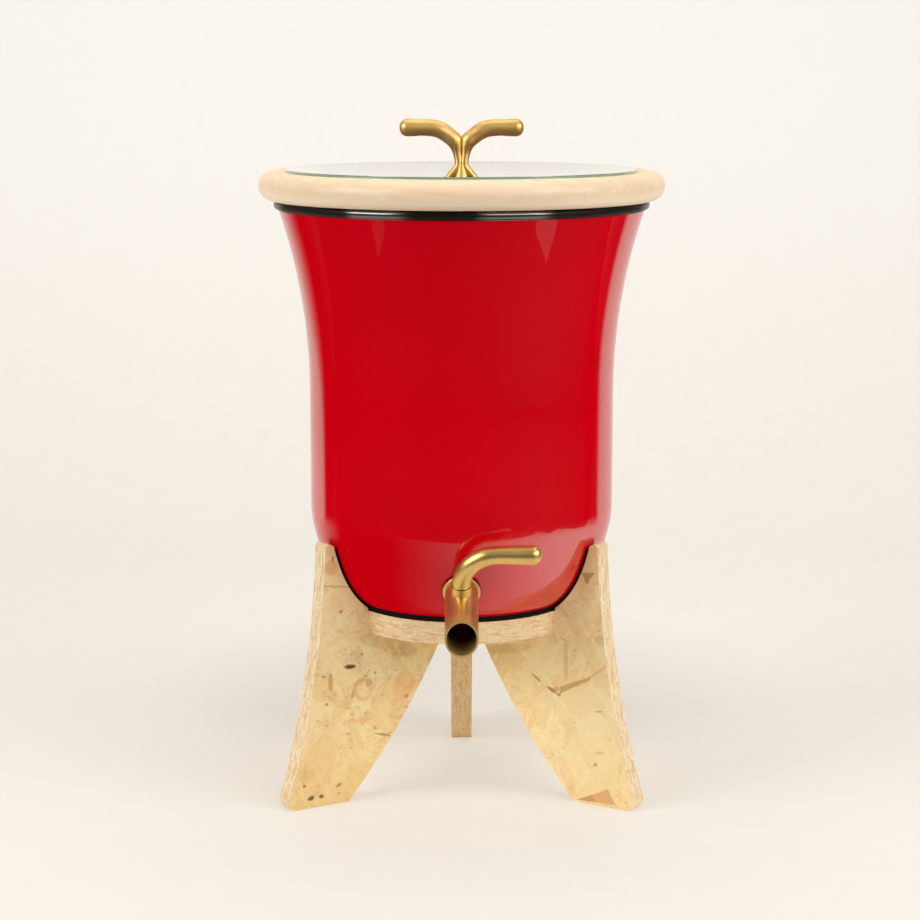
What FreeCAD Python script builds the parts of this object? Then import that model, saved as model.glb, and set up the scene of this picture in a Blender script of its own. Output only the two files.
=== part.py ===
"""Water crock with a tap, on a three-legged board stand, under a wood-rimmed glass lid.

Millimetres, +Z up, origin on the crock's axis at floor level, tap and front toward -Y.
One STEP file per piece is written to parts/.
"""
import FreeCAD
import Part
import math
import os

V = FreeCAD.Vector

CUT_PAST = 1.0                  # how far a cut runs past the face it opens

# ------------------------------------------------------------------ stand
BOARD = 18.0                    # thickness of the strand board
SHELF_BOTTOM = 140.0
SHELF_TOP = SHELF_BOTTOM + BOARD
SHELF_RADIUS = 91.5
TONGUE_INNER = 56.0             # how far in the leg's tongue reaches through the shelf
LEG_ANGLES = {"leg_left": 210.0, "leg_right": 330.0, "leg_back": 90.0}
FOOT_INNER = 112.0
FOOT_OUTER = 168.2
FOOT_CORNER = 6.0               # rounding of the outer corner of a foot
LEG_OUTER_MID = (141.8, 108.0)  # (distance from axis, height) halfway up the outer edge
LEG_INNER_MID = (64.2, 60.5)    # the same on the inner edge
LEG_INNER_TOP = 18.5
TIP_OUTER = (131.0, 212.5)
TIP_TOP = (127.3, 216.6)
CRADLE_TOP_HEIGHT = 213.0
SCREW_PLACE = 44.0              # distance of each wood screw from the axis
SCREW_SHANK_R = 2.0
SCREW_HEAD_R = 4.0
SCREW_HEAD_DEPTH = 2.4
SCREW_LENGTH = 40.0
SCREW_POINT = 5.0

# ------------------------------------------------------------------ rubber between stand and crock
BASE_PAD = 4.5
CRADLE_PAD = 2.0
CRADLE_GAP = 0.3                # air between the cradle strips and the crock

# ------------------------------------------------------------------ crock
BASE_Z = SHELF_TOP + BASE_PAD
BASE_R = 91.5
WALL = 7.0
FLOOR_THICKNESS = 8.5
BODY_R = 124.6
BODY_LOW = 238.0                # the wall is upright from here
BODY_HIGH = 335.0               # up to here, then it flares
FLARE_RADIUS = 460.0
LIP_Z = 484.5
CORNER_POINTS = [(BODY_R, BODY_LOW), (120.4, 212.0), (113.2, 191.0), (101.5, 172.0), (BASE_R, BASE_Z)]
CORNER_END_DIRECTION = (-1.25, -1.0)
CORNER_SEARCH_STEPS = 400       # fineness of the search for a height on the corner
INSIDE_CORNER_STEPS = 8
FLOOR_BLEND = 1.0               # the inside corner leaves the offset line this far above the floor
FLOOR_EDGE_RUN = 12.0           # and reaches the floor this much further in

# ------------------------------------------------------------------ rim trim
TRIM_BEAD_R = 3.6
TRIM_BEAD_CENTRE = (148.5, 484.4)
TRIM_TOP = TRIM_BEAD_CENTRE[1] + TRIM_BEAD_R
TRIM_INNER_R = 137.6
TRIM_INNER_LOW = 472.0
TRIM_INNER_LEG = 5.0
TRIM_CHAMFER = 1.0

# ------------------------------------------------------------------ tap
TAP_TILT = 24.9                 # slope of the tap below level, square to the crock's wall
TAP_ORIGIN = V(0, -110.9, 189.3)
TAP_FLAT_R = 16.5               # flat ground on the outside for the flange
TAP_INNER_FLAT_R = 17.5
TAP_WALL = 5.7                  # wall left between the two flats
TAP_CUT = 20.0                  # reach of the cuts for the flats and the hole
TAP_HOLE_R = 10.6
SHANK_R = 10.0
SHANK_REACH = 17.5              # how far the shank stands in from the outer flat
FLANGE_R = 14.9
FLANGE_THICKNESS = 2.0
FLANGE_ROUND = 0.8
SEAL_THICKNESS = 1.5
SEAL_R = 14.4
INNER_SEAL_R = 15.5
WASHER_THICKNESS = 1.5
NUT_THICKNESS = 6.0
NUT_FLATS = 28.0
TUBE_R = 13.0
TUBE_BORE_R = 11.55
SOCKET_R = 11.85                # of the wider bore that slips over the valve block
TUBE_STOCK = 80.0               # length of the tube before its end is cut
SPOUT_END_Y = -166.0            # the spout is cut off plumb here
BLOCK_END = 31.0
WATERWAY_R = 4.5
STEM_PLACE = 18.0               # distance of the stem's axis from the outer flat
SLEEVE_R = 8.2
PLUG_BORE_R = 7.2
RUNNING_GAP = 0.04
PLUG_R = PLUG_BORE_R - RUNNING_GAP
PLUG_LOW = -7.5
PLUG_TOP = 8.0
SLEEVE_BOTTOM = -7.8
STEM_R = 4.5
STEM_TOP = 27.0
GROOVE_R = 3.4
GROOVE_WIDTH = 1.6
GROOVE_PLACES = (10.6, 15.0)
O_RING_R = STEM_R + RUNNING_GAP
O_RING_WIDTH = 1.4
COLLAR_R = 8.2
COLLAR_BORE_R = STEM_R + 0.1
COLLAR_TOP = 19.4
COLLAR_BOTTOM = PLUG_TOP + 0.2
STOP_PLACE = 6.4                # distance of the stop pin from the stem's axis
STOP_PIN_R = 0.9
STOP_SLOT_R = 1.1
STOP_SLOT_DEPTH = 2.2
STOP_PIN_DROP = 1.8
STOP_PIN_TOP = 3.0
LEVER_LOW = 19.9
LEVER_FOOT_R = 7.5
LEVER_ARM_R = 7.1
LEVER_TIP_R = 8.0
LEVER_BEND = 28.4
LEVER_BEND_STEPS = 6
LEVER_LENGTH = 61.6
LEVER_END_ROUND = 7.2
GRUB_R = 2.0
GRUB_HEIGHT = 23.4
GRUB_RECESS = 0.6

# ------------------------------------------------------------------ lid
RING_BOTTOM = TRIM_TOP
RING_TOP = 511.2
RING_OUTER_R = 164.1
RING_NOSE_R = (RING_TOP - RING_BOTTOM) / 2
RING_NOSE_CENTRE_R = RING_OUTER_R - RING_NOSE_R
RING_INNER_R = 130.0
SKIRT_R = 136.5
SKIRT_LOW = 478.0
SKIRT_CHAMFER = 1.5
POCKET_R = 142.0
POCKET_EDGE_Z = 510.4
POCKET_FLOOR = 504.9
GLASS_R = 141.0
GLASS_THICKNESS = 5.0
GLASS_RIM_TOP = 512.6
GLASS_DISH = 8.0                # the middle lies this much below the rim
GLASS_HOLE_R = 6.0
GLASS_ARRIS = 0.4
BEDDING_INNER_R = 131.0
BEDDING_TOP = 510.0

# ------------------------------------------------------------------ lid handle
GLASS_CENTRE_TOP = GLASS_RIM_TOP - GLASS_DISH
GLASS_CENTRE_LOW = GLASS_CENTRE_TOP - GLASS_THICKNESS
GASKET_UPPER = 1.0
HANDLE_BASE = GLASS_CENTRE_TOP + GASKET_UPPER
HANDLE_ARM_Z = 545.4
HANDLE_BEND = [                 # from arm to neck: (distance from axis, depth below arm, radius)
    (36.0, 0.0, 6.85), (28.0, 0.0, 6.7), (21.5, 0.7, 6.75), (15.3, 3.0, 6.75), (9.7, 6.9, 6.5),
    (5.0, 11.8, 6.3), (3.8, 16.9, 4.7), (2.9, 23.0, 3.4), (2.55, 29.0, 2.95),
]
HANDLE_HALF_WIDTH = 50.1
HANDLE_TIP_R = 7.3
HANDLE_END_ROUND = 6.4
HANDLE_KINK_Z = 516.1           # where the necks begin to turn outward
HANDLE_KINK_R = 4.0
HANDLE_SPLAY = 39.5             # of the two toes, from upright
HANDLE_TOE = 16.0
HANDLE_CONE_TOP = 516.0
HANDLE_CONE_R = 6.0
HANDLE_CONE_TOP_R = 2.0
GASKET_UPPER_R = 15.5
GASKET_LOWER_R = 11.0
GASKET_LOWER = 1.5
DISH_RISE = 0.2                 # how far the lower gasket follows the dish up at its edge
HANDLE_WASHER = 1.5
HANDLE_SCREW_R = 2.5
HANDLE_SCREW_TOP = 512.0
HANDLE_HEAD_R = 4.6
HANDLE_HEAD = 4.0
HEX_SOCKET_FLATS = 4.0
HEX_SOCKET_DEPTH = 2.2

Z_AXIS = V(0, 0, 1)


def at(radius, height):
    """Point in the half plane that is turned about Z to make round pieces."""
    return V(radius, 0, height)


def line(start, end):
    return Part.makeLine(start, end)


def arc(start, middle, end):
    return Part.Arc(start, middle, end).toShape()


def polyline(points):
    return [line(a, b) for a, b in zip(points, points[1:])]


def turned(edges):
    """Solid of revolution about Z from a closed chain of edges."""
    face = Part.Face(Part.Wire(edges))
    return face.revolve(V(0, 0, 0), Z_AXIS, 360)


def turned_polygon(points):
    closed = [at(*p) for p in points]
    return turned(polyline(closed + closed[:1]))


def ring(outer, inner, low, high):
    return turned_polygon([(inner, low), (outer, low), (outer, high), (inner, high)])


def hexagon(flats, low, high):
    corner = flats / math.sqrt(3)
    points = [V(corner * math.cos(math.radians(60 * i)), corner * math.sin(math.radians(60 * i)), low)
              for i in range(6)]
    return Part.Face(Part.makePolygon(points + points[:1])).extrude(V(0, 0, high - low))


def save(name, shape):
    """Write one piece; every solid in it must be sound."""
    if not shape.isValid() or not shape.Solids:
        raise ValueError(name + " isn't a sound solid")
    if len(shape.Solids) == 1:
        shape = shape.Solids[0]
    shape.exportStep("parts/" + name + ".step")


# ------------------------------------------------------------------ crock outline
def corner_curve():
    """Rounded lower corner of the crock, from the upright wall to the base."""
    curve = Part.BSplineCurve()
    end = at(*CORNER_END_DIRECTION)
    curve.interpolate(Points=[at(*p) for p in CORNER_POINTS], InitialTangent=V(0, 0, -1), FinalTangent=end)
    return curve


def corner_offset(distance, from_height, steps=5):
    """Points beside the crock's corner, `distance` outside it, from a height down to the base."""
    curve = corner_curve()
    low = curve.FirstParameter
    high = curve.LastParameter
    start = low
    while curve.value(start).z > from_height:
        start += (high - low) / CORNER_SEARCH_STEPS
    points = []
    for i in range(steps + 1):
        u = start + (high - start) * i / steps
        along = curve.tangent(u)[0]
        outward = V(-along.z, 0, along.x)
        points.append(curve.value(u) + outward * distance)
    return points


def smooth(points):
    curve = Part.BSplineCurve()
    curve.interpolate(Points=points)
    return curve.toShape()


def flare_radius_at(height, wall=0.0):
    """Outside radius of the flared wall, less `wall` measured square to it."""
    rise = height - BODY_HIGH
    return BODY_R + FLARE_RADIUS - math.sqrt((FLARE_RADIUS + wall) ** 2 - rise ** 2)


def flare_arc(wall=0.0):
    middle = (BODY_HIGH + LIP_Z) / 2
    return arc(at(BODY_R - wall, BODY_HIGH), at(flare_radius_at(middle, wall), middle),
               at(flare_radius_at(LIP_Z, wall), LIP_Z))


def crock_outside():
    corner = corner_curve().toShape()
    return turned([
        line(at(0, BASE_Z), at(BASE_R, BASE_Z)),
        corner,
        line(at(BODY_R, BODY_LOW), at(BODY_R, BODY_HIGH)),
        flare_arc(),
        line(at(flare_radius_at(LIP_Z), LIP_Z), at(0, LIP_Z)),
        line(at(0, LIP_Z), at(0, BASE_Z)),
    ])


def crock_inside():
    floor = BASE_Z + FLOOR_THICKNESS
    offset = corner_offset(-WALL, BODY_LOW, INSIDE_CORNER_STEPS)
    corner = [p for p in offset if p.z > floor + FLOOR_BLEND]
    floor_edge = at(corner[-1].x - FLOOR_EDGE_RUN, floor)
    lip = flare_radius_at(LIP_Z, WALL)
    return turned([
        line(at(0, floor), floor_edge),
        smooth(corner + [floor_edge]),
        line(corner[0], at(BODY_R - WALL, BODY_HIGH)),
        flare_arc(WALL),
        line(at(lip, LIP_Z), at(0, LIP_Z)),
        line(at(0, LIP_Z), at(0, floor)),
    ])


# ------------------------------------------------------------------ crock
def on_tap(shape):
    """Move a tap piece from its bench frame (Z along the spout, Y up the stem) onto the crock."""
    placed = shape.copy()
    placed.rotate(V(0, 0, 0), V(1, 0, 0), 90 + TAP_TILT)
    placed.translate(TAP_ORIGIN)
    return placed


def pot_body():
    """Crock with its wall ground flat inside and out round the tap's hole."""
    outer_flat = spout_bar(TAP_FLAT_R, 0, TAP_CUT)
    inner_flat = spout_bar(TAP_INNER_FLAT_R, -TAP_WALL - TAP_CUT, -TAP_WALL)
    hole = spout_bar(TAP_HOLE_R, -TAP_CUT, TAP_CUT)
    body = crock_outside().cut(crock_inside())
    for tool in (outer_flat, inner_flat, hole):
        body = body.cut(on_tap(tool))
    return body


def rim_trim():
    """Channel that caps the lip, with a round bead on the outside."""
    centre_r, centre_z = TRIM_BEAD_CENTRE
    start = at(centre_r, centre_z - TRIM_BEAD_R)
    nose = at(centre_r + TRIM_BEAD_R, centre_z)
    top = at(centre_r, TRIM_TOP)
    solid = turned([
        arc(start, nose, top),
        *polyline([top, at(TRIM_INNER_R + TRIM_CHAMFER, TRIM_TOP),
                   at(TRIM_INNER_R, TRIM_TOP - TRIM_CHAMFER), at(TRIM_INNER_R, TRIM_INNER_LOW),
                   at(TRIM_INNER_R + TRIM_INNER_LEG, TRIM_INNER_LOW), start]),
    ])
    return solid.cut(crock_outside().cut(crock_inside()))


# ------------------------------------------------------------------ stand
def turn_to(shape, angle):
    """Turn a piece drawn along +X so that it points at `angle`."""
    turned_shape = shape.copy()
    turned_shape.rotate(V(0, 0, 0), Z_AXIS, angle)
    return turned_shape


def board(edges):
    """Board of the stand's thickness, centred on the XZ plane."""
    face = Part.Face(Part.Wire(edges))
    face.translate(V(0, -BOARD / 2, 0))
    return face.extrude(V(0, BOARD, 0))


def wood_screw():
    head_low = SHELF_TOP - SCREW_HEAD_DEPTH
    tip = SHELF_TOP - SCREW_LENGTH
    screw = turned_polygon([
        (0, tip), (SCREW_SHANK_R, tip + SCREW_POINT), (SCREW_SHANK_R, head_low),
        (SCREW_HEAD_R, SHELF_TOP), (0, SHELF_TOP),
    ])
    screw.translate(V(SCREW_PLACE, 0, 0))
    return screw


def leg():
    """One leg along +X: foot, curved edges, cradle for the crock and a tongue through the shelf."""
    cradle = corner_offset(CRADLE_PAD + CRADLE_GAP, CRADLE_TOP_HEIGHT)
    cradle_end = cradle[-1]
    outer_mid = at(*LEG_OUTER_MID)
    inner_mid = at(*LEG_INNER_MID)
    foot_inner = at(FOOT_INNER, 0)
    foot_outer = at(FOOT_OUTER, 0)
    tip_outer = at(*TIP_OUTER)
    inner_top = at(LEG_INNER_TOP, SHELF_BOTTOM)
    edges = [
        line(foot_inner, foot_outer),
        arc(foot_outer, outer_mid, tip_outer),
        arc(tip_outer, at(*TIP_TOP), cradle[0]),
        smooth(cradle),
        *polyline([cradle_end, at(cradle_end.x, SHELF_TOP), at(TONGUE_INNER, SHELF_TOP),
                   at(TONGUE_INNER, SHELF_BOTTOM), inner_top]),
        arc(inner_top, inner_mid, foot_inner),
    ]
    solid = board(edges)
    corner = [e for e in solid.Edges if all(v.Point.sub(V(FOOT_OUTER, v.Y, 0)).Length < 0.01
                                            for v in e.Vertexes)]
    return solid.makeFillet(FOOT_CORNER, corner).cut(wood_screw())


def cradle_strip():
    outer = corner_offset(CRADLE_PAD + CRADLE_GAP, CRADLE_TOP_HEIGHT)
    inner = corner_offset(CRADLE_GAP, CRADLE_TOP_HEIGHT)
    return board([smooth(outer), line(outer[-1], inner[-1]), smooth(inner), line(inner[0], outer[0])])


def shelf_disc():
    disc = Part.makeCylinder(SHELF_RADIUS, BOARD, V(0, 0, SHELF_BOTTOM))
    for angle in LEG_ANGLES.values():
        slot = Part.makeBox(SHELF_RADIUS, BOARD, BOARD, V(TONGUE_INNER, -BOARD / 2, SHELF_BOTTOM))
        disc = disc.cut(turn_to(slot, angle)).cut(turn_to(wood_screw(), angle))
    return disc


def for_each_leg(shape):
    return Part.makeCompound([turn_to(shape, angle) for angle in LEG_ANGLES.values()])


# ------------------------------------------------------------------ tap, in its bench frame
def stem_rod(radius, low, high):
    """Cylinder on the stem's axis between two heights above the spout's axis."""
    return Part.makeCylinder(radius, high - low, V(0, low, STEM_PLACE), V(0, 1, 0))


def spout_bar(radius, low, high):
    return Part.makeCylinder(radius, high - low, V(0, 0, low), Z_AXIS)


def flange_face():
    return SEAL_THICKNESS + FLANGE_THICKNESS


def tap_body():
    """Threaded shank, flange and valve block, turned from one bar."""
    flange = spout_bar(FLANGE_R, SEAL_THICKNESS, flange_face())
    rim = [e for e in flange.Edges if abs(e.BoundBox.ZMin - flange_face()) < 0.01
           and abs(e.BoundBox.ZMax - flange_face()) < 0.01]
    body = flange.makeFillet(FLANGE_ROUND, rim)
    body = body.fuse(spout_bar(SHANK_R, -SHANK_REACH, SEAL_THICKNESS))
    body = body.fuse(spout_bar(SOCKET_R, flange_face(), BLOCK_END))
    body = body.cut(spout_bar(WATERWAY_R, -SHANK_REACH, BLOCK_END))
    body = body.cut(stem_rod(SLEEVE_R, SLEEVE_BOTTOM, TUBE_R))
    return body.removeSplitter()


def spout_tube():
    """Thin tube soldered over the valve block by a wider bore, cut off plumb at its end."""
    tube = spout_bar(TUBE_R, flange_face(), TUBE_STOCK)
    tube = tube.cut(spout_bar(SOCKET_R, 0, BLOCK_END)).cut(spout_bar(TUBE_BORE_R, 0, TUBE_STOCK))
    tube = on_tap(tube.cut(stem_rod(COLLAR_R, 0, TUBE_R + CUT_PAST)))
    corner = V(-TUBE_STOCK / 2, SPOUT_END_Y - TUBE_STOCK, TAP_ORIGIN.z - TUBE_STOCK)
    beyond = Part.makeBox(TUBE_STOCK, TUBE_STOCK, TUBE_STOCK, corner)
    return tube.cut(beyond)


def plug_sleeve():
    """Slippery bush between the plug and the valve block, with a port on either side."""
    sleeve = stem_rod(SLEEVE_R, SLEEVE_BOTTOM, PLUG_TOP)
    bore = stem_rod(PLUG_BORE_R, SLEEVE_BOTTOM, PLUG_TOP)
    return sleeve.cut(bore).cut(spout_bar(WATERWAY_R, 0, BLOCK_END))


def stem_collar():
    """Gland that holds the plug down, with a quarter-turn slot for the stop pin in its top."""
    collar = stem_rod(COLLAR_R, COLLAR_BOTTOM, COLLAR_TOP)
    bore = stem_rod(COLLAR_BORE_R, COLLAR_BOTTOM, COLLAR_TOP)
    return collar.cut(bore).cut(stop_slot())


def stop_point(turn, height):
    """Place of the stop pin's axis after the lever has turned `turn` degrees toward the spout."""
    angle = math.radians(turn)
    return V(-STOP_PLACE * math.cos(angle), height, STEM_PLACE - STOP_PLACE * math.sin(angle))


def stop_slot():
    """Quarter-turn groove, open at the collar's top, with a round end at either stop."""
    low = COLLAR_TOP - STOP_SLOT_DEPTH
    depth = STOP_SLOT_DEPTH + CUT_PAST
    outer = stem_rod(STOP_PLACE + STOP_SLOT_R, low, low + depth)
    inner = stem_rod(STOP_PLACE - STOP_SLOT_R, low, low + depth)
    reach = 2 * COLLAR_R
    quarter = Part.makeBox(reach, depth, reach, V(-reach, low, STEM_PLACE - reach))
    slot = outer.cut(inner).common(quarter)
    for turn in (0, 90):
        slot = slot.fuse(Part.makeCylinder(STOP_SLOT_R, depth, stop_point(turn, low), V(0, 1, 0)))
    return slot


def valve_plug():
    """Plug with its waterway across the spout while the lever lies to the side, and its stem."""
    plug = stem_rod(PLUG_R, PLUG_LOW, PLUG_TOP).fuse(stem_rod(STEM_R, PLUG_TOP, STEM_TOP))
    for place in GROOVE_PLACES:
        groove_end = place + GROOVE_WIDTH
        groove = stem_rod(STEM_R + CUT_PAST, place, groove_end)
        plug = plug.cut(groove.cut(stem_rod(GROOVE_R, place, groove_end)))
    crossbore = Part.makeCylinder(WATERWAY_R, 4 * PLUG_R, V(-2 * PLUG_R, 0, STEM_PLACE), V(1, 0, 0))
    return plug.cut(crossbore).removeSplitter()


def stem_o_rings():
    rings = []
    for place in GROOVE_PLACES:
        low = place + (GROOVE_WIDTH - O_RING_WIDTH) / 2
        high = low + O_RING_WIDTH
        rings.append(stem_rod(O_RING_R, low, high).cut(stem_rod(GROOVE_R, low, high)))
    return Part.makeCompound(rings)


def circle_wire(radius, centre, direction):
    return Part.Wire(Part.makeCircle(radius, centre, direction))


def lofted_rod(centres, radii, first, last):
    """Round rod along a smooth curve through `centres`, from heading `first` to heading `last`."""
    curve = Part.BSplineCurve()
    curve.interpolate(Points=centres, InitialTangent=first, FinalTangent=last)
    sections = []
    for centre, radius in zip(centres, radii):
        heading = curve.tangent(curve.parameter(centre))[0]
        sections.append(circle_wire(radius, centre, heading))
    return Part.makeLoft(sections, True, False)


def arm_end(start, start_radius, half_width, tip_radius, end_round):
    """Slightly tapered rod toward +X that ends rounded at `half_width`."""
    arm = Part.makeCone(start_radius, tip_radius, half_width - start.x, start, V(1, 0, 0))
    end = [e for e in arm.Edges if abs(e.BoundBox.XMin - half_width) < 0.01
           and abs(e.BoundBox.XMax - half_width) < 0.01]
    return arm.makeFillet(end_round, end)


def lever_handle():
    """Lever, drawn upright on Z with a quarter bend toward +X, then laid onto the stem's axis."""
    centres = []
    radii = []
    for i in range(LEVER_BEND_STEPS + 1):
        share = i / LEVER_BEND_STEPS
        turn = math.radians(90 * share)
        centres.append(V(1 - math.cos(turn), 0, math.sin(turn)) * LEVER_BEND)
        radii.append(LEVER_FOOT_R + (LEVER_ARM_R - LEVER_FOOT_R) * share)
    bend = lofted_rod(centres, radii, V(0, 0, 1), V(1, 0, 0))
    straight = arm_end(centres[-1], LEVER_ARM_R, LEVER_LENGTH, LEVER_TIP_R, LEVER_END_ROUND)
    socket = Part.makeCylinder(STEM_R, STEM_TOP - LEVER_LOW + CUT_PAST)
    solid = bend.fuse(straight).cut(socket)
    return lay_on_stem(solid.removeSplitter()).cut(grub_hole())


def lay_on_stem(shape):
    """Turn a piece drawn on Z to the stem's axis, with its Z = 0 at the lever's lower face."""
    laid = shape.copy()
    laid.rotate(V(0, 0, 0), V(1, 0, 0), -90)
    laid.translate(V(0, LEVER_LOW, STEM_PLACE))
    return laid


def grub_hole():
    """Tapped hole through the back of the lever's foot, toward the crock."""
    length = LEVER_FOOT_R + CUT_PAST - STEM_R
    start = STEM_PLACE - LEVER_FOOT_R - CUT_PAST
    return Part.makeCylinder(GRUB_R, length, V(0, GRUB_HEIGHT, start), Z_AXIS)


def lever_grub_screw():
    """Headless screw with a hexagon socket, hollowed at its end to seat on the stem."""
    start = STEM_PLACE - LEVER_FOOT_R + GRUB_RECESS
    length = LEVER_FOOT_R - GRUB_RECESS - STEM_R
    screw = Part.makeCylinder(GRUB_R, length, V(0, GRUB_HEIGHT, start), Z_AXIS)
    key = hexagon(GRUB_R, start, start + length / 2)
    key.translate(V(0, GRUB_HEIGHT, 0))
    return screw.cut(key).cut(stem_rod(STEM_R, 0, STEM_TOP))


def stop_pin():
    low = LEVER_LOW - STOP_PIN_DROP
    height = STOP_PIN_DROP + STOP_PIN_TOP
    return Part.makeCylinder(STOP_PIN_R, height, stop_point(0, low), V(0, 1, 0))


def tap_washers():
    """Inner seal, washer and lock nut, stacked inward from the inner flat."""
    seal_low = -TAP_WALL - SEAL_THICKNESS
    washer_low = seal_low - WASHER_THICKNESS
    nut_low = washer_low - NUT_THICKNESS
    nut = hexagon(NUT_FLATS, nut_low, washer_low)
    return {
        "tap_seal_inner": ring(INNER_SEAL_R, SHANK_R, seal_low, -TAP_WALL),
        "tap_washer": ring(INNER_SEAL_R, SHANK_R, washer_low, seal_low),
        "tap_lock_nut": nut.cut(spout_bar(SHANK_R, nut_low, washer_low)),
    }


# ------------------------------------------------------------------ lid
def lid_ring():
    nose_low = at(RING_NOSE_CENTRE_R, RING_BOTTOM)
    nose_out = at(RING_OUTER_R, RING_BOTTOM + RING_NOSE_R)
    nose_top = at(RING_NOSE_CENTRE_R, RING_TOP)
    return turned([
        arc(nose_low, nose_out, nose_top),
        *polyline([nose_top, at(POCKET_R, POCKET_EDGE_Z), at(POCKET_R, POCKET_FLOOR),
                   at(RING_INNER_R, POCKET_FLOOR), at(RING_INNER_R, SKIRT_LOW),
                   at(SKIRT_R - SKIRT_CHAMFER, SKIRT_LOW), at(SKIRT_R, SKIRT_LOW + SKIRT_CHAMFER),
                   at(SKIRT_R, RING_BOTTOM), nose_low]),
    ])


def dish_height(radius):
    """Height of the glass's top above the middle of the dish."""
    sphere = (GLASS_R ** 2 + GLASS_DISH ** 2) / (2 * GLASS_DISH)
    return GLASS_CENTRE_TOP + sphere - math.sqrt(sphere ** 2 - radius ** 2)


def dish_arc(start, end, drop):
    middle = (start + end) / 2
    return arc(at(start, dish_height(start) - drop), at(middle, dish_height(middle) - drop),
               at(end, dish_height(end) - drop))


def lid_glass():
    """Dished pane with a hole for the handle and a small arris on its edge."""
    shoulder = GLASS_R - GLASS_ARRIS
    top = dish_height(shoulder)
    low = top - GLASS_THICKNESS
    return turned([
        dish_arc(GLASS_HOLE_R, shoulder, 0),
        *polyline([at(shoulder, top), at(GLASS_R, top - GLASS_ARRIS), at(GLASS_R, low + GLASS_ARRIS),
                   at(shoulder, low)]),
        dish_arc(shoulder, GLASS_HOLE_R, GLASS_THICKNESS),
        line(at(GLASS_HOLE_R, dish_height(GLASS_HOLE_R) - GLASS_THICKNESS),
             at(GLASS_HOLE_R, dish_height(GLASS_HOLE_R))),
    ])


def glass_bedding():
    return ring(POCKET_R, BEDDING_INNER_R, POCKET_FLOOR, BEDDING_TOP).cut(lid_glass())


def handle_toe(top, radius):
    """Rod that comes down from `top` and turns outward into a splayed toe."""
    centre = V(top.x + HANDLE_KINK_R, 0, HANDLE_KINK_Z)
    splay = math.radians(HANDLE_SPLAY)
    start, middle, end = [centre - V(math.cos(turn), 0, math.sin(turn)) * HANDLE_KINK_R
                          for turn in (0, splay / 2, splay)]
    tip = end + V(math.sin(splay), 0, -math.cos(splay)) * HANDLE_TOE
    path = Part.Wire([line(top, start), arc(start, middle, end), line(end, tip)])
    return path.makePipeShell([circle_wire(radius, top, Z_AXIS)], True, False)


def lid_handle():
    """Two arms that bend into twin necks, which splay below into toes beside a slim cone."""
    centres = [V(x, 0, HANDLE_ARM_Z - depth) for x, depth, _ in HANDLE_BEND]
    radii = [radius for _, _, radius in HANDLE_BEND]
    bend = lofted_rod(centres, radii, V(-1, 0, 0), V(0, 0, -1))
    straight = arm_end(centres[0], radii[0], HANDLE_HALF_WIDTH, HANDLE_TIP_R, HANDLE_END_ROUND)
    side = bend.fuse(straight).fuse(handle_toe(centres[-1], radii[-1]))
    cone = Part.makeCone(HANDLE_CONE_R, HANDLE_CONE_TOP_R, HANDLE_CONE_TOP - HANDLE_BASE,
                         V(0, 0, HANDLE_BASE))
    handle = side.fuse(side.mirror(V(0, 0, 0), V(1, 0, 0))).fuse(cone)
    below = Part.makeCylinder(HANDLE_HALF_WIDTH, HANDLE_TOE, V(0, 0, HANDLE_BASE - HANDLE_TOE))
    hole = Part.makeCylinder(HANDLE_SCREW_R, HANDLE_SCREW_TOP - HANDLE_BASE, V(0, 0, HANDLE_BASE))
    return handle.cut(below).cut(hole).removeSplitter()


def handle_fixing():
    """Gaskets, bush, washer and screw that clamp the handle through the glass."""
    upper = ring(GASKET_UPPER_R, HANDLE_SCREW_R, GLASS_CENTRE_TOP, HANDLE_BASE)
    gasket_low = GLASS_CENTRE_LOW - GASKET_LOWER
    bush_low = GLASS_CENTRE_LOW + DISH_RISE
    lower = ring(GASKET_LOWER_R, HANDLE_SCREW_R, gasket_low, bush_low)
    washer_low = gasket_low - HANDLE_WASHER
    head_low = washer_low - HANDLE_HEAD
    screw = turned_polygon([(0, head_low), (HANDLE_HEAD_R, head_low), (HANDLE_HEAD_R, washer_low),
                            (HANDLE_SCREW_R, washer_low), (HANDLE_SCREW_R, HANDLE_SCREW_TOP),
                            (0, HANDLE_SCREW_TOP)])
    glass = lid_glass()
    return {
        "handle_gasket_upper": upper.cut(glass),
        "handle_gasket_lower": lower.cut(glass),
        "handle_bush": ring(GLASS_HOLE_R, HANDLE_SCREW_R, bush_low, GLASS_CENTRE_TOP),
        "handle_washer": ring(GASKET_LOWER_R, HANDLE_SCREW_R, washer_low, gasket_low),
        "handle_screw": screw.cut(hexagon(HEX_SOCKET_FLATS, head_low, head_low + HEX_SOCKET_DEPTH)),
    }


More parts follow.
